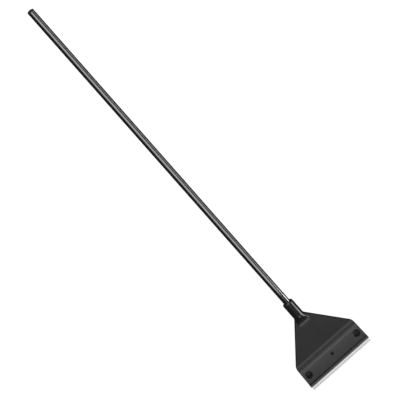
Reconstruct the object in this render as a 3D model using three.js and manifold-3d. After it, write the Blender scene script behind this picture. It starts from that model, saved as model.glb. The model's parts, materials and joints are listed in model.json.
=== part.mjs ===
// A long-handled floor scraper with a wide, replaceable razor blade, lying on the back of its head.
// Millimetres, +Z up. +X runs from the pole's free end towards the blade.
// The origin is on the flat back of the head, on its centre rib, and the head is symmetric about y = 0.
import * as THREE from "three";
import { ConvexGeometry } from "three/addons/geometries/ConvexGeometry.js";
import { mergeVertices } from "three/addons/utils/BufferGeometryUtils.js";
import Module from "manifold-3d";

// Clearances
const restGap = 0.15; // between two faces that rest on each other
const fitGap = 0.2; // radial, round a shaft or a pressed-in piece
const threadGap = 0.25; // radial, between a plain stand-in for a thread and its nut

// Pole: a thin tube with a plug at each end
const poleDiameter = 9.7;
const poleWall = 1.0;
const poleReach = 528.6; // of bare tube beyond the socket's rim
const tubeEntry = 4.0; // of tube inside the socket
const capDome = 1.7;
const capPlugLength = 9.0;
const studPlugLength = 14.0;
const studFlange = 3.0;
const studThreadDiameter = 7.2;
const studThreadLength = 15.5;
const studThreadChamfer = 0.8;
const plugChamfer = 0.6;
const poleLockThickness = 1.1;
const poleLockRing = 0.55; // of washer on each side of the thread

// Head: a round socket that runs into a flat triangle, whose front bends up into the jaw
const socketDiameter = 15.5;
const socketLength = 26.5;
const rimRound = 1.6;
const insertWall = 1.7;
const insertLength = 15.0;
const headThickness = 8.5;
const triangleLength = 46.1; // from the neck to where the bend starts
const bendStart = 24.0; // from the origin
const bendAngle = THREE.MathUtils.degToRad(15);
const bendRadius = 26.0; // inside the bend
const flareAngle = THREE.MathUtils.degToRad(38.5); // of each slanted side, from the axis
const cornerRound = 13.0;
const neckRound = 12.0;
const rampLength = 15.7;
const rampHalfWidth = 10.5;
const rampStartBack = 1.5; // of the ramp's top, behind the neck
const socketOverlap = 0.5; // of the socket past the neck

// Jaw, measured forwards from the end of the bend and up from its back face
const jawThickness = 5.6;
const jawLength = 30.4;
const jawRearHalfWidth = 49.9;
const jawFrontHalfWidth = 50.9;
const jawNoseThickness = 1.6;
const jawNoseBevel = 9.0;
const shoulderEnd = 1.3;

// Clamp plate
const plateRear = 3.5;
const plateThickness = 5.0;
const plateChamferLength = 4.2;
const plateChamferHeight = 2.2;
const plateStep = 25.9; // where the flat drops to the lip
const plateStepDepth = 2.7;
const plateStepWidth = 1.3;
const plateFront = 30.9;
const lipFrontThickness = 0.9;
const stepGrooveDepth = 0.2; // of the groove at the foot of the step
const plateRearRound = 0.5;
const plateTopRound = 1.5;
const plateStepRound = 0.4;
const stepGrooveRound = 0.2;
const lipRearRound = 0.5;
const lipFrontRound = 0.3;

// Blade
const bladeLength = 100.0;
const bladeWidth = 25.0;
const bladeThickness = 0.5;
const bladeTip = 35.2;
const bladeBevel = 3.4;
const bladeEdge = 0.08;
const bladeSideGap = 0.35; // to the walls of its seat
const slotWidth = 4.5;
const slotInner = 4.0;
const slotOuter = 46.0;
const slotRibGap = 0.35;
const slotRibRoot = 0.5; // of each rib sunk into the jaw

// Fasteners
const screwSpread = 42.0; // of each clamp screw from the middle
const screwStation = 15.9;
const screwDiameter = 4.0;
const screwLength = 7.5;
const screwHeadOverhang = 2.0; // of the head beyond the shank, all round
const screwHeadHeight = 1.9;
const screwHeadSide = 1.0; // of straight side below the dome
const screwHeadCrown = THREE.MathUtils.degToRad(60); // where the dome's arc turns flat
const screwChamfer = 0.5;
const screwHoleGap = 0.35; // radial, round the shank
const recessLength = 4.4; // of the cross in the screw's head
const recessWidth = 1.0;
const recessDepth = 1.3;
const counterboreGap = 1.0; // radial, round the screw's head
const counterboreDepth = 3.9;
const washerRing = 1.5; // of washer on each side of the screw
const washerThickness = 0.8;
const washerSplit = 0.7;
const nutWall = 1.5; // from the thread to each flat
const nutThickness = 3.2;
const pinDiameter = 3.4;
const pinStation = 14.3;
const pinFoot = 3.4; // of pin inside the jaw
const pinRecess = 0.7; // of the pin's top below the face of the plate
const pinChamfer = 0.5;

// Coring of the head's back
const coreDepth = 5.6;
const coreWall = 3.0;
const coreRib = 3.2;
const centreRibHalfWidth = 5.0;
const coreRound = 1.5;
const coreNarrowWidth = 5.0; // of each core at its end near the socket
const coreEndBack = 1.0; // of the cores' other end, behind the bend
const coreRibForward = 3.0; // of the rib between two cores, ahead of their middle

const roundSides = 48;
const smallSides = 32;
const arcSteps = 6;
const wide = 400; // longer than any piece that a tool cuts through
const overrun = 1; // of a cutting tool past the face that it opens

// Heights above the back of the jaw
const seatFloor = jawThickness - bladeThickness - restGap;
const plateBottom = jawThickness + restGap;
const plateTop = plateBottom + plateThickness;
const counterboreFloor = plateTop - counterboreDepth;
const washerBottom = counterboreFloor + restGap;
const screwSeat = washerBottom + washerThickness + restGap;
const nutPocketTop = nutThickness + 2 * restGap;
const bladeRear = bladeTip - bladeWidth;
const slotStation = bladeTip - bladeWidth / 2;

// Sizes round the screws and the pin
const screwHoleRadius = screwDiameter / 2 + screwHoleGap;
const screwHeadRadius = screwDiameter / 2 + screwHeadOverhang;
const counterboreRadius = screwHeadRadius + counterboreGap;
const washerInner = screwDiameter / 2 + fitGap;
const nutBore = screwDiameter / 2 + threadGap;
const nutAcrossFlats = screwDiameter + 2 * nutWall;
const pinHoleRadius = pinDiameter / 2 + 2 * fitGap; // in the plate and the blade

// Places along the head
const neck = bendStart - triangleLength;
const neckReach = neckRound * Math.tan(flareAngle / 2); // of the neck's rounding, each way
const slabStart = neck - neckReach - overrun;
const rim = neck + socketOverlap - socketLength;
const poleRadius = poleDiameter / 2;
const poleBore = poleRadius - poleWall;
const socketRadius = socketDiameter / 2;
const poleSlope = Math.asin((socketRadius - poleRadius) / poleReach);

// Depths inside the socket, from its rim
const flangeStart = tubeEntry + restGap;
const flangeEnd = flangeStart + studFlange;
const poleLockStart = flangeEnd + restGap;
const insertStart = poleLockStart + poleLockThickness + restGap;
const insertBore = studThreadDiameter / 2 + threadGap;
const insertRadius = insertBore + insertWall;

const wasm = await Module();
wasm.setup();

// Frames

// The jaw's frame: its X runs forwards along the jaw and its Z stands square to the clamp plate.
const jaw = new THREE.Group();
const backRadius = bendRadius + headThickness;
jaw.position.set(
  bendStart + backRadius * Math.sin(bendAngle),
  0,
  backRadius * (1 - Math.cos(bendAngle)),
);
jaw.rotation.y = -bendAngle;
jaw.updateMatrix();

// The pole's frame: its origin is in the middle of the socket's rim and its X runs into the head.
const pole = new THREE.Group();
pole.position.set(rim, 0, socketRadius);
pole.rotation.y = -poleSlope;
pole.updateMatrix();

// Shapes

// A closed outline through corners [x, y, radius], with each corner rounded by its own radius.
function rounded(corners) {
  return corners.flatMap(([x, y, radius = 0], i) => {
    const corner = new THREE.Vector2(x, y);
    if (radius === 0) return [corner];
    const [backX, backY] = corners.at(i - 1);
    const [aheadX, aheadY] = corners[(i + 1) % corners.length];
    const back = new THREE.Vector2(backX - x, backY - y).normalize();
    const ahead = new THREE.Vector2(aheadX - x, aheadY - y).normalize();
    const half = back.angleTo(ahead) / 2;
    const middle = back.clone().add(ahead).normalize();
    const centre = corner.clone().addScaledVector(middle, radius / Math.sin(half));
    const start = corner.clone().addScaledVector(back, radius / Math.tan(half)).sub(centre);
    const side = Math.sign(back.cross(ahead));
    const sweep = -side * (Math.PI - 2 * half);
    return Array.from({ length: arcSteps + 1 }, (_, k) =>
      start.clone().rotateAround(new THREE.Vector2(), (sweep * k) / arcSteps).add(centre),
    );
  });
}

// Points on an arc of a circle, from one angle to another.
function arc(centreX, centreY, radius, from, to, steps = arcSteps) {
  return Array.from({ length: steps + 1 }, (_, k) => {
    const angle = from + ((to - from) * k) / steps;
    return new THREE.Vector2(centreX + radius * Math.cos(angle), centreY + radius * Math.sin(angle));
  });
}

// An outline in X and Y, carried up along Z from bottom to top.
function upright(points, bottom, top, holes = []) {
  const shape = new THREE.Shape(points);
  shape.holes = holes.map((hole) => new THREE.Path(hole));
  const made = new THREE.ExtrudeGeometry(shape, { depth: top - bottom, bevelEnabled: false });
  return made.translate(0, 0, bottom);
}

// An outline in X and Z, carried across by the same distance to each side of y = 0.
function crosswise(points, halfWidth) {
  const settings = { depth: 2 * halfWidth, bevelEnabled: false };
  const made = new THREE.ExtrudeGeometry(new THREE.Shape(points), settings);
  return made.rotateX(Math.PI / 2).translate(0, halfWidth, 0);
}

// A profile of [distance along the axis, radius], turned about X.
function turned(profile, sides = roundSides) {
  const points = profile.map(([along, radius]) => new THREE.Vector2(radius, along));
  return new THREE.LatheGeometry(points, sides).rotateZ(-Math.PI / 2);
}

// The same, turned about Z and stood at x, y.
function turnedUp(profile, x = 0, y = 0, sides = smallSides) {
  const points = profile.map(([height, radius]) => new THREE.Vector2(radius, height));
  return new THREE.LatheGeometry(points, sides).rotateX(Math.PI / 2).translate(x, y, 0);
}

const rod = (from, to, radius) => [
  [from, 0],
  [from, radius],
  [to, radius],
  [to, 0],
];

const ring = (from, to, inner, outer) => [
  [from, inner],
  [from, outer],
  [to, outer],
  [to, inner],
  [from, inner],
];

const hexagon = (acrossFlats, x, y) =>
  Array.from({ length: 6 }, (_, k) => {
    const angle = (k * Math.PI) / 3;
    const reach = acrossFlats / Math.sqrt(3);
    return new THREE.Vector2(x + reach * Math.cos(angle), y + reach * Math.sin(angle));
  });

const rectangle = (x0, y0, x1, y1) => [
  new THREE.Vector2(x0, y0),
  new THREE.Vector2(x1, y0),
  new THREE.Vector2(x1, y1),
  new THREE.Vector2(x0, y1),
];

// Joining and cutting

function solid(geometry, frame) {
  const bare = geometry.clone();
  if (frame) bare.applyMatrix4(frame.matrix);
  bare.deleteAttribute("normal");
  bare.deleteAttribute("uv");
  const merged = mergeVertices(bare, 1e-4);
  return new wasm.Manifold(
    new wasm.Mesh({
      numProp: 3,
      vertProperties: merged.attributes.position.array,
      triVerts: new Uint32Array(merged.index.array),
    }),
  );
}

function surface(shape) {
  const mesh = shape.getMesh();
  const made = new THREE.BufferGeometry();
  made.setAttribute("position", new THREE.BufferAttribute(mesh.vertProperties, 3));
  made.setIndex(new THREE.BufferAttribute(mesh.triVerts, 1));
  return made.toNonIndexed();
}

const cut = (body, tools, frame) =>
  tools.reduce((left, tool) => left.subtract(solid(tool, frame)), body);

// Head

// The side view of the triangle and the jaw, with the shoulder, the ledge and the blade's seat.
function headProfile() {
  const toHead = ([x, z]) => {
    const point = new THREE.Vector3(x, 0, z).applyMatrix4(jaw.matrix);
    return new THREE.Vector2(point.x, point.z);
  };
  const down = -Math.PI / 2;
  return [
    new THREE.Vector2(slabStart, 0),
    ...arc(bendStart, backRadius, backRadius, down, down + bendAngle),
    ...[
      [jawLength - jawNoseBevel, 0],
      [jawLength, seatFloor - jawNoseThickness],
      [jawLength, seatFloor],
      [bladeRear - bladeSideGap, seatFloor],
      [bladeRear - bladeSideGap, jawThickness],
      [shoulderEnd, jawThickness],
      [shoulderEnd, headThickness],
    ].map(toHead),
    ...arc(bendStart, backRadius, bendRadius, down + bendAngle, down),
    new THREE.Vector2(slabStart, headThickness),
  ];
}

// The head seen from above: on each side the neck, the slanted side, the corner and the jaw's side.
function headOutline() {
  const flare = Math.tan(flareAngle);
  const jawStart = jaw.position.x;
  const front = jawStart + jawLength * Math.cos(bendAngle);
  const sideSlope = (jawFrontHalfWidth - jawRearHalfWidth) / (front - jawStart);
  const cornerX =
    (jawRearHalfWidth - socketRadius + neck * flare - jawStart * sideSlope) / (flare - sideSlope);
  const cornerY = socketRadius + (cornerX - neck) * flare;
  const half = [
    [slabStart, socketRadius],
    [neck, socketRadius, neckRound],
    [cornerX, cornerY, cornerRound],
    [front + overrun, jawFrontHalfWidth + overrun * sideSlope],
  ];
  const mirrored = half.map(([x, y, radius]) => [x, -y, radius]);
  return rounded([...mirrored, ...half.reverse()]);
}

// The round socket, with its rim rounded outside.
function socketBarrel() {
  const rimArc = Array.from({ length: arcSteps + 1 }, (_, k) => {
    const angle = (k * Math.PI) / 2 / arcSteps;
    return [rimRound * (1 - Math.sin(angle)), socketRadius - rimRound * (1 - Math.cos(angle))];
  }).reverse();
  return turned([[0, 0], ...rimArc, [socketLength, socketRadius], [socketLength, 0]]);
}

// The ramp from the round socket down to the flat triangle.
function ramp() {
  const start = socketLength - socketOverlap - rampStartBack;
  const circle = Array.from({ length: roundSides }, (_, k) => {
    const angle = (2 * k * Math.PI) / roundSides;
    const y = socketRadius * Math.cos(angle);
    return new THREE.Vector3(start, y, socketRadius * Math.sin(angle)).applyMatrix4(pole.matrix);
  });
  const foot = neck - rampStartBack + rampLength;
  const corners = [-rampHalfWidth, rampHalfWidth].flatMap((y) => [
    new THREE.Vector3(foot, y, headThickness),
    new THREE.Vector3(foot, y, headThickness / 2),
  ]);
  return new ConvexGeometry([...circle, ...corners]);
}

// One cored pocket on each side of the centre rib, split by a rib half way along.
function backPockets() {
  const flare = Math.tan(flareAngle);
  const wall = coreWall / Math.cos(flareAngle);
  const edge = (x) => socketRadius + (x - neck) * flare - wall;
  const start = neck + (centreRibHalfWidth + coreNarrowWidth + wall - socketRadius) / flare;
  const end = bendStart - coreEndBack;
  const middle = (start + end) / 2 + coreRibForward;
  const bay = (from, to) => [
    [from, centreRibHalfWidth, coreRound],
    [to, centreRibHalfWidth, coreRound],
    [to, edge(to), coreRound],
    [from, edge(from), coreRound],
  ];
  const bays = [bay(start, middle - coreRib / 2), bay(middle + coreRib / 2, end)];
  return bays.flatMap((corners) => {
    const other = corners.map(([x, y, radius]) => [x, -y, radius]).reverse();
    return [corners, other].map((each) => upright(rounded(each), -overrun, coreDepth));
  });
}

// The low ribs that stand in the blade's two slots.
function slotRibs() {
  const half = slotWidth / 2 - slotRibGap;
  return [-1, 1].map((side) => {
    const inner = side * (slotInner + slotRibGap + half);
    const outer = side * (slotOuter - slotRibGap - half);
    const ends = [Math.min(inner, outer), Math.max(inner, outer)];
    const outline = [
      ...arc(slotStation, ends[1], half, 0, Math.PI),
      ...arc(slotStation, ends[0], half, Math.PI, 2 * Math.PI),
    ];
    return upright(outline, seatFloor - slotRibRoot, jawThickness - 2 * restGap);
  });
}

const screwSides = [-screwSpread, screwSpread];

function headBody() {
  const slab = solid(crosswise(headProfile(), wide / 2));
  const outline = solid(upright(headOutline(), -overrun, wide / 4));
  const plain = slab
    .intersect(outline)
    .add(solid(socketBarrel(), pole))
    .add(solid(ramp()));
  const withRibs = slotRibs().reduce((whole, rib) => whole.add(solid(rib, jaw)), plain);
  const socketTools = [
    turned(rod(-overrun, insertStart - restGap, poleRadius + fitGap)),
    turned(rod(insertStart - 2 * restGap, insertStart + insertLength + restGap, insertRadius + fitGap)),
  ];
  const jawTools = screwSides.flatMap((y) => [
    turnedUp(rod(-overrun, jawThickness + overrun, screwHoleRadius), screwStation, y),
    upright(hexagon(nutAcrossFlats + 2 * fitGap, screwStation, y), -overrun, nutPocketTop),
  ]);
  const pinTool = turnedUp(
    rod(seatFloor - pinFoot - restGap, jawThickness + overrun, pinDiameter / 2 + fitGap),
    pinStation,
  );
  const drilled = cut(cut(withRibs, socketTools, pole), [...jawTools, pinTool], jaw);
  return surface(cut(drilled, backPockets()));
}

// Clamp

function clampPlate() {
  const profile = [
    [plateRear, plateBottom],
    [plateFront, plateBottom],
    [plateFront, plateBottom + lipFrontThickness, lipFrontRound],
    [plateStep + plateStepWidth, plateTop - plateStepDepth, lipRearRound],
    [plateStep + plateStepWidth / 2, plateTop - plateStepDepth - stepGrooveDepth, stepGrooveRound],
    [plateStep, plateTop, plateStepRound],
    [plateRear + plateChamferLength, plateTop, plateTopRound],
    [plateRear, plateTop - plateChamferHeight, plateRearRound],
  ];
  const draft = (jawFrontHalfWidth - jawRearHalfWidth) / jawLength;
  const halfWidth = (x) => jawRearHalfWidth + x * draft;
  const ends = [plateRear - overrun, plateFront + overrun];
  const outline = rounded([
    [ends[0], -halfWidth(ends[0])],
    [ends[1], -halfWidth(ends[1])],
    [ends[1], halfWidth(ends[1])],
    [ends[0], halfWidth(ends[0])],
  ]);
  const bar = solid(crosswise(rounded(profile), wide / 2));
  const whole = bar.intersect(solid(upright(outline, 0, wide / 4)));
  const holes = screwSides.flatMap((y) => [
    turnedUp(rod(0, plateTop + overrun, screwHoleRadius), screwStation, y),
    turnedUp(rod(counterboreFloor, plateTop + overrun, counterboreRadius), screwStation, y),
  ]);
  const pinHole = turnedUp(rod(0, plateTop + overrun, pinHoleRadius), pinStation);
  return surface(cut(whole, [...holes, pinHole]));
}

function blade() {
  const bottom = seatFloor + restGap;
  const profile = rounded([
    [bladeRear, bottom],
    [bladeTip, bottom],
    [bladeTip, bottom + bladeEdge],
    [bladeTip - bladeBevel, bottom + bladeThickness],
    [bladeRear, bottom + bladeThickness],
  ]);
  const half = slotWidth / 2;
  const slots = [-1, 1].map((side) => {
    const ends = [side * (slotInner + half), side * (slotOuter - half)].sort((a, b) => a - b);
    const outline = [
      ...arc(slotStation, ends[1], half, 0, Math.PI),
      ...arc(slotStation, ends[0], half, Math.PI, 2 * Math.PI),
    ];
    return upright(outline, 0, wide / 4);
  });
  const screwHoles = screwSides.map((y) =>
    turnedUp(rod(0, wide / 4, screwHoleRadius), screwStation, y),
  );
  const notch = upright(
    [
      ...arc(pinStation, 0, pinHoleRadius, -Math.PI / 2, Math.PI / 2),
      new THREE.Vector2(bladeRear - overrun, pinHoleRadius),
      new THREE.Vector2(bladeRear - overrun, -pinHoleRadius),
    ],
    0,
    wide / 4,
  );
  return surface(cut(solid(crosswise(profile, bladeLength / 2)), [...slots, ...screwHoles, notch]));
}

function clampScrew(y) {
  const radius = screwDiameter / 2;
  const tip = screwSeat - screwLength;
  const top = screwSeat + screwHeadHeight;
  const dome = Array.from({ length: arcSteps + 1 }, (_, k) => {
    const angle = (k * screwHeadCrown) / arcSteps;
    const rise = ((screwHeadHeight - screwHeadSide) * Math.sin(angle)) / Math.sin(screwHeadCrown);
    return [screwSeat + screwHeadSide + rise, screwHeadRadius * Math.cos(angle)];
  });
  const body = turnedUp(
    [
      [tip, 0],
      [tip, radius - screwChamfer],
      [tip + screwChamfer, radius],
      [screwSeat, radius],
      [screwSeat, screwHeadRadius],
      ...dome,
      [top, 0],
    ],
    screwStation,
    y,
  );
  const arms = [
    [recessLength / 2, recessWidth / 2],
    [recessWidth / 2, recessLength / 2],
  ].map(([x, z]) =>
    upright(
      rectangle(screwStation - x, y - z, screwStation + x, y + z),
      top - recessDepth,
      top + overrun,
    ),
  );
  return surface(cut(solid(body), arms));
}

function springWasher(y) {
  const outer = washerInner + washerRing;
  const whole = turnedUp(
    ring(washerBottom, washerBottom + washerThickness, washerInner, outer),
    screwStation,
    y,
  );
  const split = upright(
    rectangle(screwStation, y - washerSplit / 2, screwStation + outer + overrun, y + washerSplit / 2),
    0,
    plateTop,
  );
  return surface(cut(solid(whole), [split]));
}

function clampNut(y) {
  const hole = arc(screwStation, y, nutBore, 0, 2 * Math.PI, smallSides).slice(0, -1);
  return upright(hexagon(nutAcrossFlats, screwStation, y), restGap, restGap + nutThickness, [hole]);
}

function locatingPin() {
  const radius = pinDiameter / 2;
  const top = plateTop - pinRecess;
  return turnedUp(
    [
      [seatFloor - pinFoot, 0],
      [seatFloor - pinFoot, radius],
      [top - pinChamfer, radius],
      [top, radius - pinChamfer],
      [top, 0],
    ],
    pinStation,
  );
}

// Pole

const poleTube = () => turned(ring(-poleReach, tubeEntry, poleBore, poleRadius));

function poleEndCap() {
  const dome = Array.from({ length: arcSteps + 1 }, (_, k) => {
    const angle = (k * Math.PI) / 2 / arcSteps;
    return [-poleReach - restGap - capDome * Math.cos(angle), poleRadius * Math.sin(angle)];
  });
  const plugEnd = -poleReach + capPlugLength;
  return turned([
    ...dome,
    [-poleReach - restGap, poleBore - fitGap],
    [plugEnd - plugChamfer, poleBore - fitGap],
    [plugEnd, poleBore - fitGap - plugChamfer],
    [plugEnd, 0],
  ]);
}

function poleStud() {
  const thread = studThreadDiameter / 2;
  const start = tubeEntry - studPlugLength;
  const end = flangeEnd + studThreadLength;
  return turned([
    [start, 0],
    [start, poleBore - fitGap - plugChamfer],
    [start + plugChamfer, poleBore - fitGap],
    [flangeStart, poleBore - fitGap],
    [flangeStart, poleRadius],
    [flangeEnd, poleRadius],
    [flangeEnd, thread],
    [end - studThreadChamfer, thread],
    [end, thread - studThreadChamfer],
    [end, 0],
  ]);
}

function poleLockWasher() {
  const inner = studThreadDiameter / 2 + fitGap;
  return turned(ring(poleLockStart, poleLockStart + poleLockThickness, inner, inner + poleLockRing));
}

const socketInsert = () =>
  turned(ring(insertStart, insertStart + insertLength, insertBore, insertRadius));

// Assembly

const finishes = {
  blackPlastic: { color: 0x2b2c2e, roughness: 0.5, metalness: 0 },
  blackPaint: { color: 0x141416, roughness: 0.22, metalness: 0.2 },
  blackOxide: { color: 0x1d1d1f, roughness: 0.4, metalness: 0.8 },
  steel: { color: 0xc9ccd0, roughness: 0.3, metalness: 1 },
  zinc: { color: 0xa7abb0, roughness: 0.35, metalness: 1 },
  brass: { color: 0xb9974f, roughness: 0.35, metalness: 1 },
};

function part(name, geometry, finish) {
  const mesh = new THREE.Mesh(geometry, new THREE.MeshStandardMaterial(finishes[finish]));
  mesh.name = name;
  return mesh;
}

const scraper = new THREE.Group();
scraper.add(part("head_body", headBody(), "blackPlastic"), jaw, pole);
jaw.add(
  part("clamp_plate", clampPlate(), "blackPlastic"),
  part("blade", blade(), "steel"),
  part("locating_pin", locatingPin(), "blackOxide"),
);
["left", "right"].forEach((side, i) => {
  const y = -screwSides[i];
  jaw.add(
    part(`clamp_screw_${side}`, clampScrew(y), "blackOxide"),
    part(`spring_washer_${side}`, springWasher(y), "zinc"),
    part(`clamp_nut_${side}`, clampNut(y), "zinc"),
  );
});
pole.add(
  part("pole_tube", poleTube(), "blackPaint"),
  part("pole_end_cap", poleEndCap(), "blackPlastic"),
  part("pole_stud", poleStud(), "zinc"),
  part("pole_lock_washer", poleLockWasher(), "zinc"),
  part("socket_insert", socketInsert(), "brass"),
);

export default scraper;
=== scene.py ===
import json
import math

import bmesh
import bpy
import numpy as np
from mathutils import Matrix, Vector


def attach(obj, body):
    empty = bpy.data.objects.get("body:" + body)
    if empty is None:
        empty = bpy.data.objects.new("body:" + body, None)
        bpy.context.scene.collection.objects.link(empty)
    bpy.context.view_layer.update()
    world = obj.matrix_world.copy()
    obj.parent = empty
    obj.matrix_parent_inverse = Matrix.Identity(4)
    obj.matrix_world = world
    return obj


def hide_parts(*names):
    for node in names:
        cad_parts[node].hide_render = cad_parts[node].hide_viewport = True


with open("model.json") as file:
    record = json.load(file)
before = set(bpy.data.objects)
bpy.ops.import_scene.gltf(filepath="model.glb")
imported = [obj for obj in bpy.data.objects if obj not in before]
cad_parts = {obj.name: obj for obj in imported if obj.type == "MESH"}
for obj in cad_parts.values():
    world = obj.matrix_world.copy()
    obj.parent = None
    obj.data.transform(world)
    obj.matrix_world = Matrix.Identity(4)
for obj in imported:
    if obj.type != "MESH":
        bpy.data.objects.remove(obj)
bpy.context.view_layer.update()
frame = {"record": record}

# A long-handled floor scraper: gloss black pole, satin black head, clamp plate and a wide razor blade.
# The dictionaries are in millimetres and the meshes in metres. +X runs from the pole's free end to the blade.

mm = 0.001
full = 2 * math.pi
right = math.pi / 2
joints = {joint["name"]: joint for joint in frame["record"]["behaviour"]["joints"]}

headSize = dict(
    thickness=8.5, neck=-22.1, flareDegrees=38.5, neckFlare=0.25, neckBlend=2.4, cornerBlend=2.9,
    bendStart=24.0, bendInner=26.0, bendCrisp=20.0, edgeTop=0.8, edgeBottom=1.2, neckEdge=7.0,
    socketRadius=7.75, barrelLength=24.9, rimRound=1.6,
    # the ramp: where its crest turns down, how steeply it falls, and how softly it turns at both ends
    crest=-21.2, fallSlope=1.1, crestBlend=4.4, footBlend=7.0, rampStart=-21.5, rampLength=13.5,
    rampHalfWidth=10.5, rampFillet=1.1, filletEnd=17.5, filletFade=12.0, rampSink=0.1, rampPower=2.2,
    baseDrop=1.0, tuckSlope=0.25, tuckStart=2.5,
    jawThickness=5.6, jawLength=30.4, rearHalfWidth=49.9, frontHalfWidth=50.9,
    noseThickness=1.6, noseBevel=9.0, noseRound=0.5, shoulder=1.3, shoulderRound=0.8,
    seatRear=9.85, seatFloor=4.95, slotRib=(22.7, 4.35, 45.65, 3.8), slotRibTop=5.3,
)
boreSize = dict(radius=5.05, mouth=5.5, depth=8.55, insertRadius=5.75, insertEnd=24.0)
coreSize = dict(
    depth=5.6, rib=3.2, wall=3.0, centreRib=5.0, narrowEnd=5.0, bendGap=1.0, ribShift=3.0,
    corner=2.2, draft=0.5, floorRound=0.6,
)
fastenerSize = dict(
    spread=42.0, station=15.9, hole=4.7, nutPocket=7.4, nutPocketTop=3.5,
    pinStation=14.3, pin=3.4, pinGap=0.2,
)

# The jaw's frame stands square to the clamp plate, the pole's runs along the pole
jawUp = np.array(joints["clamp_lift"]["axis"])
jawForward = np.array([jawUp[2], 0, -jawUp[0]])
bendAngle = math.asin(-jawUp[0])
backRadius = headSize["bendInner"] + headSize["thickness"]
jawOrigin = np.array([
    headSize["bendStart"] + backRadius * math.sin(bendAngle), 0, backRadius * (1 - math.cos(bendAngle)),
])
poleOrigin = np.array(joints["pole_turn"]["pos_m"]) / mm
poleForward = -np.array(joints["pole_turn"]["axis"])
poleUp = np.array([-poleForward[2], 0, poleForward[0]])
across = np.array([0.0, 1.0, 0.0])


# place = origin + x * forward + y * across + z * up
def placed(points, origin, forward, up):
    return np.asarray(points) @ np.stack([forward, across, up]) + origin


# The same in the jaw's frame
def inJaw(points):
    return placed(points, jawOrigin, jawForward, jawUp)


# The same in the pole's frame, whose origin is in the middle of the socket's rim
def inPole(points):
    return placed(points, poleOrigin, poleForward, poleUp)


# A closed mesh from a grid of points: one quad between each point, the next in its row, and the two below.
# Every row closes on itself. The last row joins the first where ring is true, or else both are filled.
def gridMesh(name, points, ring=False):
    rows, columns = points.shape[:2]
    index = np.arange(rows * columns).reshape(rows, columns)
    here = index if ring else index[:-1]
    below = np.roll(index, -1, axis=0) if ring else index[1:]
    quads = np.stack([here, np.roll(here, -1, 1), np.roll(below, -1, 1), below], axis=-1)
    faces = quads.reshape(-1, 4).tolist()
    if not ring:
        faces += [index[0, ::-1].tolist(), index[-1].tolist()]
    mesh = bpy.data.meshes.new(name)
    mesh.from_pydata((points.reshape(-1, 3) * mm).tolist(), [], faces)
    # turn the faces outwards
    shape = bmesh.new()
    shape.from_mesh(mesh)
    if shape.calc_volume(signed=True) < 0:
        bmesh.ops.reverse_faces(shape, faces=shape.faces[:])
    shape.to_mesh(mesh)
    shape.free()
    piece = bpy.data.objects.new(name, mesh)
    bpy.context.scene.collection.objects.link(piece)
    return piece


# Joins or cuts the piece with one tool after another, then lets the tools go
def carve(piece, *steps):
    for operation, tool in steps:
        change = piece.modifiers.new("carve", "BOOLEAN")
        change.solver = "MANIFOLD"
        change.operation = operation
        change.object = tool
    graph = bpy.context.evaluated_depsgraph_get()
    mesh = bpy.data.meshes.new_from_object(piece.evaluated_get(graph))
    piece.modifiers.clear()
    piece.data = mesh
    for operation, tool in steps:
        bpy.data.objects.remove(tool)
    return piece


# Smooth faces, with edges sharper than the angle kept crisp, then the finish, the body and the CAD node
def finished(piece, finish, body, node, sharpDegrees=35):
    mesh = piece.data
    mesh.shade_smooth()
    mesh.set_sharp_from_angle(angle=math.radians(sharpDegrees))
    mesh.materials.clear()
    mesh.materials.append(finishes[finish])
    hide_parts(node)
    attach(piece, body)
    return piece


# One circle of points for each distance along the axis: x = along, y = r cos(turn), z = r sin(turn).
# radius is one column, or a column for each side
def turnedGrid(along, radius, sides=96):
    turn = np.arange(sides) / sides * full
    r = np.asarray(radius, float).reshape(len(along), -1) + np.zeros(sides)
    x = np.asarray(along, float)[:, None] + np.zeros(sides)
    return np.stack([x, r * np.cos(turn), r * np.sin(turn)], axis=-1)


# A turned grid stood up at (x, y) in the jaw, so that its axis becomes the jaw's up
def standing(grid, x, y):
    return np.stack([grid[..., 1] + x, grid[..., 2] + y, grid[..., 0]], axis=-1)


# A thread's radius: r - depth * ridge, where the ridge is a triangle wave of (along / pitch - turn / full)
# that fades out within a pitch of both ends. A negative depth cuts into a hole's wall instead.
def threaded(along, radius, start, end, pitch, depth, sides=96):
    phase = np.asarray(along)[:, None] / pitch - np.arange(sides) / sides
    ridge = np.abs((phase % 1) * 2 - 1)
    fade = np.clip(np.minimum(along - start, end - along) / pitch, 0, 1)
    return np.asarray(radius, float).reshape(-1, 1) - depth * ridge * fade[:, None]


# A profile of (along, radius) pairs, each corner between its ends cut by a small bevel with a middle point
def bevelled(profile, size=0.25):
    points = np.array(profile, float)
    run = np.diff(points, axis=0)
    length = np.linalg.norm(run, axis=1)
    step = run / length[:, None]
    reach = np.minimum(size, np.minimum(length[:-1], length[1:]) * 0.4)[:, None]
    before = points[1:-1] - step[:-1] * reach
    after = points[1:-1] + step[1:] * reach
    middle = (before + after) * 0.35 + points[1:-1] * 0.3
    inner = np.stack([before, middle, after], axis=1).reshape(-1, 2)
    return np.concatenate([points[:1], inner, points[-1:]])


# A closed outline whose corners are quadratic curves: (1-t)^2 start + 2t(1-t) corner + t^2 end, where start
# and end lie the corner's radius away from it along its two sides
def roundedOutline(corners, radius, steps=6):
    corners = np.array(corners, float)
    back = np.roll(corners, 1, axis=0) - corners
    ahead = np.roll(corners, -1, axis=0) - corners
    lengths = [np.linalg.norm(side, axis=1, keepdims=True) for side in (back, ahead)]
    reach = np.minimum(np.reshape(radius, (-1, 1)), np.minimum(*lengths) * 0.45)
    t = np.linspace(0, 1, steps + 1)[:, None]
    start, end = ((corners + side / length * reach)[:, None] for side, length in zip((back, ahead), lengths))
    curve = (1 - t) ** 2 * start + 2 * t * (1 - t) * corners[:, None] + t ** 2 * end
    return curve.reshape(-1, 2)


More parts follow.
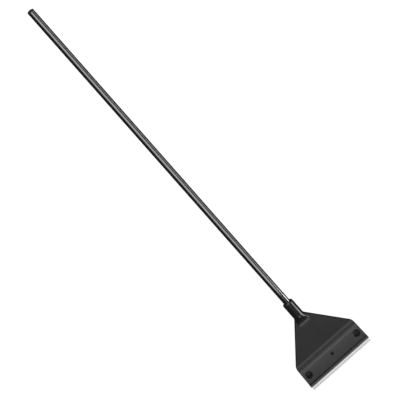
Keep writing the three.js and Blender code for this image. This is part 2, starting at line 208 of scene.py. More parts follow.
# The outline of a slot along y with round ends, half circles about (x, yTo - half) and (x, yFrom + half)
def slotOutline(x, yFrom, yTo, width, steps=12):
    half = width / 2
    turn = np.linspace(0, math.pi, steps)
    far = np.column_stack([x + half * np.cos(turn), yTo - half + half * np.sin(turn)])
    near = np.column_stack([x - half * np.cos(turn), yFrom + half - half * np.sin(turn)])
    return np.concatenate([far, near])


# A flat outline (x, y), or one for each height, as rows at those heights
def upright(outline, *heights):
    outlines = np.broadcast_to(outline, (len(heights), *np.shape(outline)[-2:]))
    levels = np.broadcast_to(np.reshape(heights, (-1, 1, 1)), (*outlines.shape[:2], 1))
    return np.concatenate([outlines, levels], axis=-1)


# The larger of two surfaces, raised where they cross by (size - |a - b|)^2 / (4 size), which is a fillet
def softMax(a, b, size):
    gap = np.clip(size - np.abs(a - b), 0, None)
    return np.maximum(a, b) + gap ** 2 / (4 * size)


# The smaller of two surfaces, with the same fillet cut away
def softMin(a, b, size):
    return -softMax(-a, -b, size)


# A number or colour on its way between nodes; arithmetic on it adds Math nodes
class Flow:
    def __init__(self, finish, port):
        self.finish, self.port = finish, port

    # One Math node with these values in its sockets
    def math(self, operation, *values):
        return self.finish.add("ShaderNodeMath", {"operation": operation}, dict(enumerate(values)))

    def __add__(self, other):
        return self.math("ADD", self, other)

    def __radd__(self, other):
        return self.math("ADD", other, self)

    def __sub__(self, other):
        return self.math("SUBTRACT", self, other)

    def __rsub__(self, other):
        return self.math("SUBTRACT", other, self)

    def __mul__(self, other):
        return self.math("MULTIPLY", self, other)

    def __rmul__(self, other):
        return self.math("MULTIPLY", other, self)

    def __truediv__(self, other):
        return self.math("DIVIDE", self, other)


# A material with one Principled shader. Fixed values go straight onto its sockets.
class Finish:
    def __init__(self, name, **fixed):
        self.material = bpy.data.materials.new(name)
        self.material.use_nodes = True
        self.tree = self.material.node_tree
        self.shader = self.tree.nodes["Principled BSDF"]
        self.place = self.add("ShaderNodeTexCoord", out="Object")
        for socket, value in fixed.items():
            self.shader.inputs[socket.replace("_", " ")].default_value = value

    # Makes a node, sets its settings, then fills or links its sockets
    def add(self, kind, settings=None, inputs=None, out=0):
        node = self.tree.nodes.new(kind)
        for key, value in (settings or {}).items():
            setattr(node, key, value)
        for key, value in (inputs or {}).items():
            self.fill(node.inputs[key], value)
        return Flow(self, node.outputs[out])

    # Links a flow to the socket, or writes a plain value into it
    def fill(self, socket, value):
        if isinstance(value, Flow):
            self.tree.links.new(value.port, socket)
        else:
            socket.default_value = value

    # Feeds the shader's sockets, with an underscore for each space in their names
    def vary(self, **links):
        for socket, value in links.items():
            self.fill(self.shader.inputs[socket.replace("_", " ")], value)

    # Cloudy noise from 0 to 1; stretch scales the coordinates first, so a small number draws it out
    def noise(self, scale, detail=2.0, stretch=(1, 1, 1), turn=(0, 0, 0)):
        mapping = {"Vector": self.place, "Scale": stretch, "Rotation": turn}
        place = self.add("ShaderNodeMapping", None, mapping)
        return self.add("ShaderNodeTexNoise", None, {"Vector": place, "Scale": scale, "Detail": detail})

    # 1 where x is under the limit, then 1 - (x - limit) / fade, down to 0
    def before(self, limit, fade):
        x = self.add("ShaderNodeSeparateXYZ", None, {"Vector": self.place}, out="X")
        return self.add("ShaderNodeClamp", None, {"Value": (limit + fade - x) / fade})

    # The colour between dark and light that the mask picks
    def blend(self, mask, dark, light):
        settings = {"data_type": "RGBA"}
        return self.add("ShaderNodeMix", settings, {0: mask, 6: (*dark, 1), 7: (*light, 1)}, out=2)

    # A normal tilted by the slope of the height, which is distance metres from 0 to 1
    def bump(self, height, strength, distance):
        inputs = {"Height": height, "Strength": strength, "Distance": distance}
        return self.add("ShaderNodeBump", None, inputs)


# Moulded plastic: fine spark-eroded grain with a slow drift in sheen. The mould is turned and not eroded
# where x is under smoothBefore, so the skin is smoother there.
def mouldedPlastic(name, dark, light, roughness, smoothBefore=None, smoother=0.12, fade=0.004):
    made = Finish(name, IOR=1.5)
    grain = made.noise(2300, 3)
    drift = made.noise(55, 2)
    rough = roughness + drift * 0.08 + grain * 0.06
    if smoothBefore is not None:
        rough = rough - made.before(smoothBefore, fade) * smoother
    made.vary(
        Base_Color=made.blend(drift * 0.6 + grain * 0.4, dark, light),
        Roughness=rough,
        Normal=made.bump(grain, 0.25, 0.00005),
    )
    return made.material


# Gloss paint over steel: nearly flat, with the faint ripple of a sprayed coat and streaks along the tube
def glossPaint(name, dark, light):
    made = Finish(name, IOR=2.5, Coat_Weight=1.0, Coat_Roughness=0.06)
    ripple = made.noise(420, 2)
    streak = made.noise(900, 2, stretch=(0.04, 1, 1))
    made.vary(
        Base_Color=made.blend(streak, dark, light),
        Roughness=0.15 + streak * 0.05,
        Normal=made.bump(ripple, 0.06, 0.0001),
    )
    return made.material


# Bare or plated metal, with marks drawn out along one direction and a slow stain
def markedMetal(name, dark, light, roughness, scale=1500, stretch=(1, 1, 1), turn=(0, 0, 0)):
    made = Finish(name, Metallic=1.0)
    marks = made.noise(scale, 3, stretch, turn)
    stain = made.noise(90, 2)
    made.vary(
        Base_Color=made.blend(marks * 0.5 + stain * 0.5, dark, light),
        Roughness=roughness - 0.08 + marks * 0.16,
        Normal=made.bump(marks, 0.15, 0.00003),
    )
    return made.material


jawTurn = (0, bendAngle, 0)
finishes = dict(
    head=mouldedPlastic(
        "headPlastic", (0.008, 0.008, 0.0085), (0.014, 0.014, 0.0145), 0.30, smoothBefore=-0.0205,
    ),
    plate=mouldedPlastic("platePlastic", (0.011, 0.011, 0.0115), (0.017, 0.017, 0.0175), 0.31),
    cap=mouldedPlastic("capPlastic", (0.012, 0.012, 0.012), (0.018, 0.018, 0.018), 0.26),
    pole=glossPaint("polePaint", (0.006, 0.006, 0.006), (0.011, 0.011, 0.011)),
    blade=markedMetal(
        "bladeSteel", (0.86, 0.865, 0.87), (0.98, 0.98, 0.985), 0.30, 900, stretch=(1, 0.03, 1), turn=jawTurn,
    ),
    screw=markedMetal("blackOxide", (0.012, 0.012, 0.013), (0.03, 0.03, 0.031), 0.34),
    zinc=markedMetal("zincPlate", (0.42, 0.43, 0.45), (0.62, 0.63, 0.64), 0.32),
    brass=markedMetal("turnedBrass", (0.5, 0.36, 0.14), (0.72, 0.55, 0.25), 0.3, 1200, stretch=(0.1, 1, 1)),
)
print("finishes made:", len(finishes))


# Half the width of the head at x: the slanted side, rounded into the neck and into the jaw's side
def headHalfWidth(x):
    size = headSize
    flare = size["socketRadius"] + (x - size["neck"]) * math.tan(math.radians(size["flareDegrees"]))
    neckSide = size["socketRadius"] + (x - size["neck"]) * size["neckFlare"]
    front = jawOrigin[0] + size["jawLength"] * math.cos(bendAngle)
    slope = (size["frontHalfWidth"] - size["rearHalfWidth"]) / (front - jawOrigin[0])
    jawSide = size["rearHalfWidth"] + (x - jawOrigin[0]) * slope
    return softMin(softMax(flare, neckSide, size["neckBlend"]), jawSide, size["cornerBlend"])


# Height of the ramp at (x, y): base + (crest - base) * (1 - |y / half|^power)^(1 / power). The crest turns
# down past the socket and flows out into the flat, while the section widens from a circle (power 2) to a
# flat-topped hump. Behind the ramp it is tucked just inside the socket.
def rampHeight(x, y):
    size = headSize
    top = 2 * size["socketRadius"]
    foot = size["thickness"] - size["rampSink"]
    fall = top - (x - size["crest"]) * size["fallSlope"]
    crest = softMin(top - size["rampSink"] + 0 * x, fall, size["crestBlend"])
    crest = softMax(crest, foot, size["footBlend"])
    crest = crest - size["tuckSlope"] * np.clip(size["neck"] - size["tuckStart"] - x, 0, None)
    share = np.clip((x - size["rampStart"]) / size["rampLength"], 0, 1)
    half = size["socketRadius"] + (size["rampHalfWidth"] - size["socketRadius"]) * share
    base = size["socketRadius"] + (size["thickness"] - size["baseDrop"] - size["socketRadius"]) * share
    power = 2 + size["rampPower"] * share
    arch = np.clip(1 - np.abs(y / half) ** power, 0, None) ** (1 / power)
    return base + (crest - base) * arch


# One cross-section of the head in each row: the floor, a rounded edge, the side, a rounded edge and the top.
# Rows stand square to the back face, whose path is straight, then an arc, then straight along the jaw. The
# arc is crisper than the jaw's own and about the same corner: it starts radius * tan(angle / 2) before that.
def headGrid():
    size = headSize
    crisp = size["bendCrisp"]
    arcStart = size["bendStart"] + (backRadius - crisp) * math.tan(bendAngle / 2)
    ramp = np.linspace(size["neck"] - 6, size["neck"] + 17, 84)
    flat = np.linspace(size["neck"] + 18, arcStart, 22)
    bend = np.linspace(0, bendAngle, 15)[1:]
    corner = np.linspace(0, right, 7)
    soft, nose, wall, seat = size["shoulderRound"], size["noseRound"], size["shoulder"], size["seatRear"]
    jawX = np.concatenate([
        [0.0, 0.3], wall - soft + soft * np.sin(corner), [wall, wall], np.linspace(wall, seat, 8)[1:],
        [seat], np.linspace(seat, size["jawLength"] - nose, 22)[1:],
        size["jawLength"] - nose + nose * np.sin(corner[1:]),
    ])
    jawTop = np.concatenate([
        [size["thickness"]] * 2, size["thickness"] - soft * (1 - np.cos(corner)),
        [size["jawThickness"] + 0.3], [size["jawThickness"]] * 8, [size["seatFloor"]] * 22,
        size["seatFloor"] - nose * (1 - np.cos(corner[1:])),
    ])
    drop = np.clip((jawX - (size["jawLength"] - size["noseBevel"])) / size["noseBevel"], 0, 1)
    straight = np.concatenate([ramp, flat])
    body = len(straight) + len(bend)
    tilt = np.concatenate([np.zeros(len(straight)), bend, np.full(len(jawX), bendAngle)])[:, None]
    baseX = np.concatenate([
        straight, arcStart + crisp * np.sin(bend), jawOrigin[0] + jawX * math.cos(bendAngle),
    ])[:, None]
    baseZ = np.concatenate([
        np.zeros(len(straight)), crisp * (1 - np.cos(bend)), jawOrigin[2] + jawX * math.sin(bendAngle),
    ])[:, None]
    top = np.concatenate([np.full(body, size["thickness"]), jawTop])[:, None]
    bottom = np.concatenate([np.zeros(body), drop * (size["seatFloor"] - size["noseThickness"])])[:, None]
    half = headHalfWidth(baseX)
    # at the neck the top edge is sharp and the bottom edge is as round as the socket
    ahead = baseX - size["neck"]
    edgeTop = np.minimum(size["edgeTop"] * np.clip(ahead / 6, 0.06, 1), (top - bottom) * 0.35)
    edgeBottom = np.minimum(size["edgeBottom"], (top - bottom) * 0.35)
    edgeBottom = edgeBottom + (size["neckEdge"] - edgeBottom) * np.clip(0.4 - ahead / 10, 0, 1)
    # the top runs from one side to the other and carries the ramp
    topY = (half - edgeTop) * np.linspace(1, -1, 121)
    # the fillet round the ramp fades out along its tail
    tail = (size["rampStart"] + size["filletEnd"] - baseX) / size["filletFade"]
    fillet = size["rampFillet"] * np.clip(tail, 0.08, 1)
    topZ = softMax(top + 0 * topY, rampHeight(baseX, topY), fillet)
    topZ = np.where(baseX < size["neck"] + 20, topZ, top)
    floorY = (half - edgeBottom) * np.linspace(-1, 1, 25)
    arc = np.linspace(0, right, 6)[None, 1:-1]
    lowY = half - edgeBottom * (1 - np.sin(arc))
    lowZ = bottom + edgeBottom * (1 - np.cos(arc))
    highY = half - edgeTop * (1 - np.cos(arc))
    highDrop = edgeTop * (1 - np.sin(arc))
    near, far = topZ[:, :1], topZ[:, -1:]
    sectionY = np.concatenate([
        floorY, lowY, half, half, highY, topY, -highY[:, ::-1], -half, -half, -lowY[:, ::-1],
    ], axis=1)
    sectionZ = np.concatenate([
        bottom + 0 * floorY, lowZ, bottom + edgeBottom, near - edgeTop, near - highDrop, topZ,
        (far - highDrop)[:, ::-1], far - edgeTop, bottom + edgeBottom, lowZ[:, ::-1],
    ], axis=1)
    x = baseX - sectionZ * np.sin(tilt)
    z = baseZ + sectionZ * np.cos(tilt)
    return np.stack([x, sectionY, z], axis=-1)


# The round socket, a profile turned about the pole's axis: a quarter circle at the rim, then straight
def barrelGrid():
    size = headSize
    radius, rim, end = size["socketRadius"], size["rimRound"], size["barrelLength"]
    turn = np.linspace(0, right, 10)
    along = np.concatenate([[0], rim * (1 - np.cos(turn)), np.linspace(3, end - 0.4, 12), [end - 0.1, end]])
    reach = np.concatenate([
        [radius - rim - 0.3], radius - rim * (1 - np.sin(turn)), np.full(12, radius),
        [radius - 0.1, radius - 0.4],
    ])
    return inPole(turnedGrid(along, reach))


# Pockets in the back of the head on both sides of its centre rib: rounded four-sided outlines, drawn in
# towards their middle by the draft at the wall's top and by two and a half times that at the floor
def corePockets():
    size, core = headSize, coreSize
    flare = math.radians(size["flareDegrees"])
    wall = core["wall"] / math.cos(flare)
    narrow = core["centreRib"] + core["narrowEnd"] + wall - size["socketRadius"]
    start = size["neck"] + narrow / math.tan(flare)
    end = size["bendStart"] - core["bendGap"]
    middle = (start + end) / 2 + core["ribShift"]
    heights = (-1, core["depth"] - core["floorRound"], core["depth"])
    made = []
    for begin, stop in ((start, middle - core["rib"] / 2), (middle + core["rib"] / 2, end)):
        edge = [size["socketRadius"] + (x - size["neck"]) * math.tan(flare) - wall for x in (begin, stop)]
        corners = np.array([
            (begin, core["centreRib"]), (stop, core["centreRib"]), (stop, edge[1]), (begin, edge[0]),
        ])
        for side in (1, -1):
            outline = roundedOutline(corners * (1, side), core["corner"])
            centre = outline.mean(axis=0)
            reach = np.linalg.norm(outline - centre, axis=1, keepdims=True)
            inward = [1 - share * core["draft"] / reach for share in (0, 1, 2.5)]
            rings = [centre + (outline - centre) * scale for scale in inward]
            made.append(gridMesh("core", upright(rings, *heights)))
    return made


# The head: the swept body and the turned socket as one, with the two ribs that stand in the blade's slots,
# less the socket's bore, the pockets in the back, and the holes for the nuts, screws and pin
def makeHead():
    size, bore, fit = headSize, boreSize, fastenerSize
    head = gridMesh("head", headGrid())
    x, low, high, width = size["slotRib"]
    heights = (size["seatFloor"] - 0.5, size["slotRibTop"])
    ribs = [
        gridMesh("rib", inJaw(upright(slotOutline(x, *ends, width), *heights)))
        for ends in ((low, high), (-high, -low))
    ]
    boreGrid = turnedGrid(
        [-1, 0.05, 0.5, bore["depth"], bore["depth"] + 0.01, bore["insertEnd"]],
        np.repeat([bore["mouth"], bore["radius"], bore["insertRadius"]], 2),
    )
    tools = [gridMesh("bore", inPole(boreGrid))] + corePockets()
    turn = np.arange(6) * math.pi / 3
    hexagon = np.column_stack([np.cos(turn), np.sin(turn)]) * fit["nutPocket"] / math.sqrt(3)
    for y in (-fit["spread"], fit["spread"]):
        pocket = upright(hexagon + (fit["station"], y), -1, fit["nutPocketTop"])
        hole = turnedGrid([fit["nutPocketTop"] - 0.2, size["jawThickness"] + 1], [fit["hole"] / 2] * 2, 48)
        tools += [gridMesh("nutPocket", inJaw(pocket))]
        tools += [gridMesh("screwHole", inJaw(standing(hole, fit["station"], y)))]
    pinHole = turnedGrid([1.4, size["jawThickness"] + 1], [fit["pin"] / 2 + fit["pinGap"]] * 2, 48)
    tools += [gridMesh("pinHole", inJaw(standing(pinHole, fit["pinStation"], 0)))]
    joins = [("UNION", tool) for tool in (gridMesh("barrel", barrelGrid()), *ribs)]
    carve(head, *joins, *(("DIFFERENCE", tool) for tool in tools))
    finished(head, "head", "head", "head_body", 30)


makeHead()
print("head made")

plateSize = dict(
    rear=3.5, front=30.9, bottom=5.75, top=10.75, chamfer=4.2, chamferDrop=2.2, step=25.9, stepDrop=2.7,
    stepWidth=1.3, groove=1.1, lipFront=0.9, endRound=0.9, endInset=0.55,
    counterbore=10.0, counterboreDepth=3.9, counterboreEdge=0.35, pinHole=4.2, pinHoleFlare=0.7,
)


# The plate's side view: a sloped rear edge, the flat, the step down and the lip that bears on the blade.
# The third value of each corner is its rounding.
def plateProfile():
    size = plateSize
    rear, front, bottom, top, step = (size[key] for key in ("rear", "front", "bottom", "top", "step"))
    low = top - size["stepDrop"]
    corners = np.array([
        (rear, bottom, 0.3), (front, bottom, 0.2), (front, bottom + size["lipFront"], 0.4),
        (step + size["stepWidth"] + 0.1, low + 0.1, 0.4),
        (step + size["stepWidth"] * 0.6, low - size["groove"], 0.2), (step + 0.1, low - size["groove"], 0.2),
        (step, top, 0.4), (rear + size["chamfer"], top, 1.6), (rear, top - size["chamferDrop"], 0.7),
    ])
    return roundedOutline(corners[:, :2], corners[:, 2])


# The profile carried across. Near each end it moves in along a quarter ellipse, which rounds the ends:
# in from its surface by endInset * (1 - cos turn), and back from the end by endRound * (1 - sin turn).
def plateGrid():
    size, head = plateSize, headSize
    profile = plateProfile()
    tangent = np.roll(profile, -1, axis=0) - np.roll(profile, 1, axis=0)
    normal = np.column_stack([tangent[:, 1], -tangent[:, 0]])
    normal /= np.linalg.norm(normal, axis=1, keepdims=True)
    turn = np.linspace(right, 0, 7)
    inset = size["endInset"] * (1 - np.cos(turn))
    back = size["endRound"] * (1 - np.sin(turn))
    inward = np.concatenate([inset, np.zeros(39), inset[::-1]])[:, None]
    share = np.concatenate([-np.ones(7), np.linspace(-0.975, 0.975, 39), np.ones(7)])[:, None]
    inFromEnd = np.concatenate([back, np.zeros(39), -back[::-1]])[:, None]
    draft = (head["frontHalfWidth"] - head["rearHalfWidth"]) / head["jawLength"]
    x = profile[:, 0] - normal[:, 0] * inward
    z = profile[:, 1] - normal[:, 1] * inward
    y = share * (head["rearHalfWidth"] + x * draft) + inFromEnd
    return np.stack([x, y, z], axis=-1)


# The plate, less two stepped and chamfered counterbores and the pin's hole
def makeClampPlate():
    size, fit = plateSize, fastenerSize
    plate = gridMesh("clampPlate", inJaw(plateGrid()))
    hole, radius = fit["hole"] / 2, size["counterbore"] / 2
    floor, mouth = size["top"] - size["counterboreDepth"], size["top"] - size["counterboreEdge"]
    bore = turnedGrid(
        [size["bottom"] - 1, floor, floor + 0.01, mouth, size["top"] + 0.5],
        [hole, hole, radius, radius, radius + 0.8], 64,
    )
    pinRadius = size["pinHole"] / 2
    pinRadii = [pinRadius, pinRadius, pinRadius + size["pinHoleFlare"]]
    pinHole = turnedGrid([4, mouth, size["top"] + 0.5], pinRadii, 48)
    tools = [standing(bore, fit["station"], y) for y in (-fit["spread"], fit["spread"])]
    tools.append(standing(pinHole, fit["pinStation"], 0))
    carve(plate, *(("DIFFERENCE", gridMesh("hole", inJaw(tool))) for tool in tools))
    finished(plate, "plate", "clamp", "clamp_plate", 32)


makeClampPlate()
print("clamp plate made")

bladeSize = dict(
    length=100.0, width=25.0, thickness=0.5, tip=35.2, bevel=3.4, edge=0.08, bottom=5.1, corner=0.05,
    slot=4.5, slotInner=4.0, slotOuter=46.0, notchGap=0.4,
)


# A flat bar ground to an edge along its front, carried across, less its two slots, the screws' holes and a
# round-ended notch for the pin
def makeBlade():
    size, fit = bladeSize, fastenerSize
    low, high, corner = size["bottom"], size["bottom"] + size["thickness"], size["corner"]
    rear, tip = size["tip"] - size["width"], size["tip"]
    profile = np.array([
        (rear + corner, low), (tip - 0.06, low), (tip, low + size["edge"] * 0.5),
        (tip - 0.12, low + size["edge"]), (tip - size["bevel"], high), (rear + corner, high),
        (rear, high - corner), (rear, low + corner),
    ])
    half = size["length"] / 2
    y = np.array([-half, -half + corner, *np.linspace(-half + 1, half - 1, 33), half - corner, half])[:, None]
    grid = np.stack([profile[:, 0] + 0 * y, y + 0 * profile[:, 0], profile[:, 1] + 0 * y], axis=-1)
    blade = gridMesh("blade", inJaw(grid))
    centre = tip - size["width"] / 2
    tools = []
    for side in (1, -1):
        ends = sorted((side * size["slotInner"], side * size["slotOuter"]))
        tools.append(upright(slotOutline(centre, *ends, size["slot"], 20), low - 1, high + 1))
        hole = turnedGrid([low - 1, high + 1], [fit["hole"] / 2] * 2, 48)
        tools.append(standing(hole, fit["station"], side * fit["spread"]))
    notch = fit["pin"] / 2 + size["notchGap"]
    turn = np.linspace(-right, right, 20)
    arc = np.column_stack([fit["pinStation"] + notch * np.cos(turn), notch * np.sin(turn)])
    tools.append(upright(np.concatenate([arc, [(rear - 1, notch), (rear - 1, -notch)]]), low - 1, high + 1))
    carve(blade, *(("DIFFERENCE", gridMesh("hole", inJaw(tool))) for tool in tools))
    finished(blade, "blade", "head", "blade", 8)


makeBlade()
print("blade made")

screwSize = dict(
    seat=7.95, headRadius=4.0, headHeight=1.9, domeShare=0.55, radius=2.0, length=7.5, pitch=0.7, depth=0.38,
    tipInset=0.7, tipStep=0.4,
    recess=4.4, recessWidth=1.05, recessDepth=1.5, recessTurn=0.5, recessFloor=0.62,
)


# A turned screw with a domed head: radius * (0.45 + 0.55 cos turn) up the dome. Its cross recess is an
# outline that shrinks to recessFloor of its size at the bottom.
def makeScrew(side, y):
    size, fit = screwSize, fastenerSize
    seat, radius, shank = size["seat"], size["headRadius"], size["radius"]
    tip, top = seat - size["length"], seat + size["headHeight"]
    turn = np.linspace(0, right, 10)[1:]
    rise = size["headHeight"] * size["domeShare"]
    along = np.concatenate([
        [tip, tip + 0.25], np.linspace(tip + 0.5, seat - 0.3, 110),
        [seat - 0.1, seat, seat + 0.15, top - rise], top - rise + rise * np.sin(turn),
    ])
    reach = np.concatenate([
        [shank - size["tipInset"], shank - size["tipStep"]], np.full(111, shank),
        [radius - 0.15, radius, radius], radius * (0.45 + 0.55 * np.cos(turn)),
    ])
    thread = threaded(along, reach, tip + 0.4, seat - 0.6, size["pitch"], size["depth"], 64)
    screw = gridMesh("clampScrew" + side, inJaw(standing(turnedGrid(along, thread, 64), fit["station"], y)))
    arm, wide = size["recess"] / 2, size["recessWidth"] / 2
    quarter = np.array([(arm, -wide), (arm, wide), (wide, wide)])
    turns = size["recessTurn"] + np.arange(4)[:, None] * right
    outline = np.stack([
        quarter[:, 0] * np.cos(turns) - quarter[:, 1] * np.sin(turns),
        quarter[:, 0] * np.sin(turns) + quarter[:, 1] * np.cos(turns),
    ], axis=-1).reshape(-1, 2)
    rings = [outline * share + (fit["station"], y) for share in (size["recessFloor"], 1.0, 1.12)]
    recess = upright(rings, top - size["recessDepth"], top, top + 1)
    carve(screw, ("DIFFERENCE", gridMesh("recess", inJaw(recess))))
    finished(screw, "screw", "screw_" + side.lower(), "clamp_screw_" + side.lower())


washerSize = dict(inner=2.2, outer=3.7, bottom=7.0, top=7.8, bevel=0.12, split=0.26)


# A split ring: a small bevelled rectangle carried round most of a circle
def makeSpringWasher(side, y):
    size, fit = washerSize, fastenerSize
    inner, outer, low, high, bevel = (size[key] for key in ("inner", "outer", "bottom", "top", "bevel"))
    section = np.array([
        (inner + bevel, low), (outer - bevel, low), (outer, low + bevel), (outer, high - bevel),
        (outer - bevel, high), (inner + bevel, high), (inner, high - bevel), (inner, low + bevel),
    ])
    turn = np.linspace(size["split"] / 2, full - size["split"] / 2, 64)[:, None]
    grid = np.stack([
        fit["station"] + section[:, 0] * np.cos(turn), y + section[:, 0] * np.sin(turn),
        section[:, 1] + 0 * turn,
    ], axis=-1)
    washer = gridMesh("springWasher" + side, inJaw(grid))
    finished(washer, "zinc", "screw_" + side.lower(), "spring_washer_" + side.lower())


nutSize = dict(bottom=0.15, top=3.35, flats=7.0, bore=2.24, depth=0.2, coneSlope=1.9, coneInset=0.1)


# A hexagon, flats / 2 / cos(turn from the nearest flat), whose corners are cut by a cone at both faces,
# round a threaded hole
def makeNut(side, y):
    size, fit = nutSize, fastenerSize
    low, high, apothem, bore = size["bottom"], size["top"], size["flats"] / 2, size["bore"]
    rise = np.array([0, 0.12, 0.3, 0.5])
    outside = np.concatenate([low + rise, [(low + high) / 2], high - rise[::-1]])
    inside = np.linspace(high, low, 60)
    turn = np.arange(96) / 96 * full
    hexagon = apothem / np.cos((turn + math.pi / 6) % (math.pi / 3) - math.pi / 6)
    fromFace = np.minimum(outside - low, high - outside)[:, None]
    cone = apothem - size["coneInset"] + fromFace * size["coneSlope"]
    thread = threaded(inside, np.full(60, bore), low, high, screwSize["pitch"], -size["depth"])
    reach = np.concatenate([np.minimum(hexagon, cone), thread])
    grid = turnedGrid(np.concatenate([outside, inside]), reach)
    nut = gridMesh("clampNut" + side, inJaw(standing(grid, fit["station"], y)), ring=True)
    finished(nut, "zinc", "head", "clamp_nut_" + side.lower())


pinSize = dict(bottom=1.55, top=10.05, bevel=0.4, bottomInset=0.5, topInner=0.3)


# A turned pin with its edges bevelled at both ends
def makePin():
    size, fit = pinSize, fastenerSize
    radius = fit["pin"] / 2
    profile = bevelled([
        (size["bottom"], radius - size["bottomInset"]), (size["bottom"], radius),
        (size["top"], radius), (size["top"], size["topInner"]),
    ], size["bevel"])
    pin = gridMesh("locatingPin", inJaw(standing(turnedGrid(*profile.T, 48), fit["pinStation"], 0)))
    finished(pin, "screw", "head", "locating_pin")


for side, y in (("Left", fastenerSize["spread"]), ("Right", -fastenerSize["spread"])):
    makeScrew(side, y)
    makeSpringWasher(side, y)
    makeNut(side, y)
makePin()
print("fasteners made")

poleSize = dict(radius=4.85, bore=3.85, reach=528.6, entry=4.0, bevel=0.3)
capSize = dict(gap=0.15, dome=1.7, plug=9.0, plugGap=0.2, rib=0.18, ribPitch=1.6, inside=2.6)
studSize = dict(
    plugStart=-10.0, plug=3.65, plugInner=2.8, flangeStart=4.15, flangeEnd=7.15, flange=4.85,
    radius=3.6, length=15.5, pitch=1.25, depth=0.6, tip=0.9, bevel=0.3,
)
lockSize = dict(start=7.3, end=8.4, inner=3.8, outer=4.35, bevel=0.1)
insertSize = dict(
    start=8.55, end=23.55, bore=3.85, radius=5.55, knurl=0.2, knurls=24, knurlReach=6.0, depth=0.3,
)


# The tube: a straight turned wall with bevelled outer edges, closed on itself
def makeTube():
    size = poleSize
    start, end, radius, bevel = -size["reach"], size["entry"], size["radius"], size["bevel"]
    outside = np.array([start, start + bevel, *np.linspace(start + 2, end - 2, 60), end - bevel, end])
    inside = np.array([end, *np.linspace(end - 1, start + 1, 30), start])
    reach = [radius - bevel, *np.full(62, radius), radius - bevel, *np.full(32, size["bore"])]
    grid = turnedGrid(np.concatenate([outside, inside]), reach, 128)
    finished(gridMesh("poleTube", inPole(grid), ring=True), "pole", "pole", "pole_tube", 40)


# The cap: a dome of radius r sin(turn)^0.8 over the tube's end, and a plug inside it with square ribs
def makeCap():
    size, pole = capSize, poleSize
    base = -pole["reach"] - size["gap"]
    turn = np.linspace(0.12, right, 14)
    plug = np.linspace(base + 0.4, size["plug"] - pole["reach"], 46)
    ribs = pole["bore"] - size["plugGap"] - size["rib"] * (np.cos(plug * full / size["ribPitch"]) > 0)
    along = np.concatenate([base - size["dome"] * np.cos(turn), [base, base], plug, [plug[-1] + 0.01]])
    reach = np.concatenate([
        pole["radius"] * np.sin(turn) ** 0.8, [pole["radius"] - 0.1, ribs[0]], ribs, [size["inside"]],
    ])
    finished(gridMesh("poleEndCap", inPole(turnedGrid(along, reach))), "cap", "pole", "pole_end_cap", 40)


# The stud: a plug in the tube, a flange as wide as the tube, and a thread that ends in a cone
def makeStud():
    size = studSize
    end = size["flangeEnd"] + size["length"]
    head = bevelled([
        (size["plugStart"], size["plugInner"]), (size["plugStart"], size["plug"]),
        (size["flangeStart"], size["plug"]), (size["flangeStart"], size["flange"]),
        (size["flangeEnd"], size["flange"]), (size["flangeEnd"], size["radius"]),
    ], size["bevel"])
    thread = np.linspace(size["flangeEnd"] + 0.02, end - size["tip"], 150)
    along = np.concatenate([head[:, 0], thread, [end]])
    reach = np.concatenate([head[:, 1], np.full(150, size["radius"]), [size["radius"] - size["tip"]]])
    reach = threaded(along, reach, size["flangeEnd"] + 0.6, end + 0.4, size["pitch"], size["depth"], 64)
    finished(gridMesh("poleStud", inPole(turnedGrid(along, reach, 64))), "zinc", "pole", "pole_stud", 40)


# The lock washer: a small bevelled rectangle turned about the pole
def makeLockWasher():
    start, end, inner, outer, bevel = (lockSize[key] for key in ("start", "end", "inner", "outer", "bevel"))
    middle = (inner + outer) / 2
    ring = bevelled([
        (start, middle), (start, outer), (end, outer), (end, inner), (start, inner), (start, middle),
    ], bevel)
    washer = gridMesh("poleLockWasher", inPole(turnedGrid(*ring[:-1].T, 64)), ring=True)
    finished(washer, "zinc", "pole_lock", "pole_lock_washer", 40)


# The insert: a turned wall with straight square knurls round the middle of its outside and a thread inside
def makeInsert():
    size = insertSize
    outside = np.linspace(size["start"], size["end"], 16)
    inside = np.linspace(size["end"], size["start"], 130)
    turn = np.arange(96) / 96 * full
    middle = (size["start"] + size["end"]) / 2
    band = np.abs(outside[:, None] - middle) < size["knurlReach"]
    knurls = size["radius"] - size["knurl"] * band * (np.cos(turn * size["knurls"]) > 0)
    thread = threaded(
        inside, np.full(130, size["bore"]), size["start"], size["end"], studSize["pitch"], -size["depth"],
    )
    grid = turnedGrid(np.concatenate([outside, inside]), np.concatenate([knurls, thread]))
    finished(gridMesh("socketInsert", inPole(grid), ring=True), "brass", "head", "socket_insert")


makeTube()
makeCap()
makeStud()
makeLockWasher()
makeInsert()
print("pole made")

# The floor and the camera's view are in metres here
stageSize = dict(
    floor=60.0, floorDrop=0.0001, floorGlow=4.45, sky=0.95, room=0.015,
    lens=1000.0, sensor=36.0, width=0.5316, along=-0.2225, side=0.0031, rollDegrees=48.585,
)


# A wide pale floor that glows evenly and takes soft shadows
def makeFloor():
    half, low = stageSize["floor"], -stageSize["floorDrop"]
    mesh = bpy.data.meshes.new("floor")
    corners = [(-half, -half, low), (half, -half, low), (half, half, low), (-half, half, low)]
    mesh.from_pydata(corners, [], [(0, 1, 2, 3)])
    floor = bpy.data.objects.new("floor", mesh)
    bpy.context.scene.collection.objects.link(floor)
    paint = Finish(
        "floorPaint", Roughness=0.9, Specular_IOR_Level=0.1, Emission_Strength=stageSize["floorGlow"],
    )
    tint = paint.blend(paint.noise(6, 2), (0.2, 0.2, 0.2), (0.204, 0.204, 0.204))
    paint.vary(Base_Color=tint, Emission_Color=tint)
    mesh.materials.append(paint.material)
    floor.visible_glossy = False


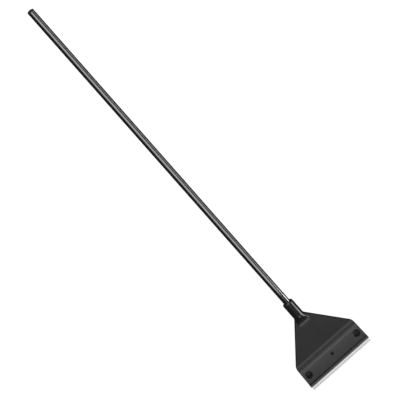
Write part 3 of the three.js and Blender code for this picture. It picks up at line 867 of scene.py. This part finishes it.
# The camera looks square at the clamp plate from width * lens / sensor away, rolled so that the pole runs
# down to the right
def makeCamera():
    size = stageSize
    camera = bpy.data.objects.new("camera", bpy.data.cameras.new("camera"))
    bpy.context.scene.collection.objects.link(camera)
    camera.data.lens = size["lens"]
    camera.data.sensor_width = size["sensor"]
    camera.data.clip_start, camera.data.clip_end = 0.5, 100
    roll = math.radians(size["rollDegrees"])
    rightward = math.cos(roll) * jawForward + math.sin(roll) * across
    upward = math.cos(roll) * across - math.sin(roll) * jawForward
    distance = size["width"] * size["lens"] / size["sensor"]
    place = jawForward * size["along"] + across * size["side"] + jawUp * distance
    turn = Matrix((rightward, upward, jawUp)).transposed()
    camera.matrix_world = Matrix.Translation(Vector(place)) @ turn.to_4x4()
    bpy.context.scene.camera = camera


# A white backdrop for the camera, and a dim room for everything else
def makeWorld():
    world = bpy.data.worlds.new("world")
    bpy.context.scene.world = world
    world.use_nodes = True
    nodes, links = world.node_tree.nodes, world.node_tree.links
    path, mix = nodes.new("ShaderNodeLightPath"), nodes.new("ShaderNodeMixShader")
    links.new(path.outputs["Is Camera Ray"], mix.inputs[0])
    for socket, level in ((1, stageSize["room"]), (2, stageSize["sky"])):
        shade = nodes.new("ShaderNodeBackground")
        shade.inputs["Color"].default_value = (level, level, level, 1)
        links.new(shade.outputs[0], mix.inputs[socket])
    links.new(mix.outputs[0], nodes["World Output"].inputs["Surface"])
    bpy.context.scene.view_settings.view_transform = "Standard"


# Discs of light in the sky, each around a direction (forward, across, up), and panels above the object.
# Brightness is what a mirror would show: a disc gives pi * brightness * sin(width / 2)^2, and a panel gives
# pi * brightness * area.
skySize = dict(
    sky=dict(towards=(-0.62, -0.05, 0.78), widthDegrees=78, brightness=0.95),
    front=dict(towards=(0.65, 0.0, 0.76), widthDegrees=28, brightness=3.5),
    poleSide=dict(towards=(0.264, 0.89, 0.36), widthDegrees=12, brightness=2.2),
    fillLeft=dict(towards=(-0.6, 0.75, 0.36), widthDegrees=40, brightness=0.5),
    fillRight=dict(towards=(-0.6, -0.75, 0.36), widthDegrees=40, brightness=0.5),
)
panelSize = dict(
    poleTop=dict(place=(-0.366, -0.006, 0.17), target=(-0.366, 0.0, 0.0), size=(0.688, 0.15), brightness=1.5),
    headSide=dict(place=(0.1, 0.268, 0.128), target=(-0.02, 0.0, 0.01), size=(0.16, 0.11), brightness=11.5),
)


# A lamp that shines back along the direction away
def makeLamp(name, kind, away):
    lamp = bpy.data.objects.new(name, bpy.data.lights.new(name, kind))
    bpy.context.scene.collection.objects.link(lamp)
    away = Vector(away).normalized()
    side = Vector((0, 1, 0)).cross(away).normalized()
    lamp.rotation_euler = Matrix((side, away.cross(side), away)).transposed().to_euler()
    lamp.visible_camera = False
    return lamp


makeFloor()
makeCamera()
makeWorld()
for name, size in skySize.items():
    lamp = makeLamp(name, "SUN", size["towards"])
    lamp.data.angle = math.radians(size["widthDegrees"])
    lamp.data.energy = math.pi * size["brightness"] * math.sin(lamp.data.angle / 2) ** 2
for name, size in panelSize.items():
    lamp = makeLamp(name, "AREA", Vector(size["place"]) - Vector(size["target"]))
    lamp.location = size["place"]
    lamp.data.shape = "RECTANGLE"
    lamp.data.size, lamp.data.size_y = size["size"]
    lamp.data.energy = math.pi * size["brightness"] * size["size"][0] * size["size"][1]
print("stage made")

bpy.context.view_layer.update()
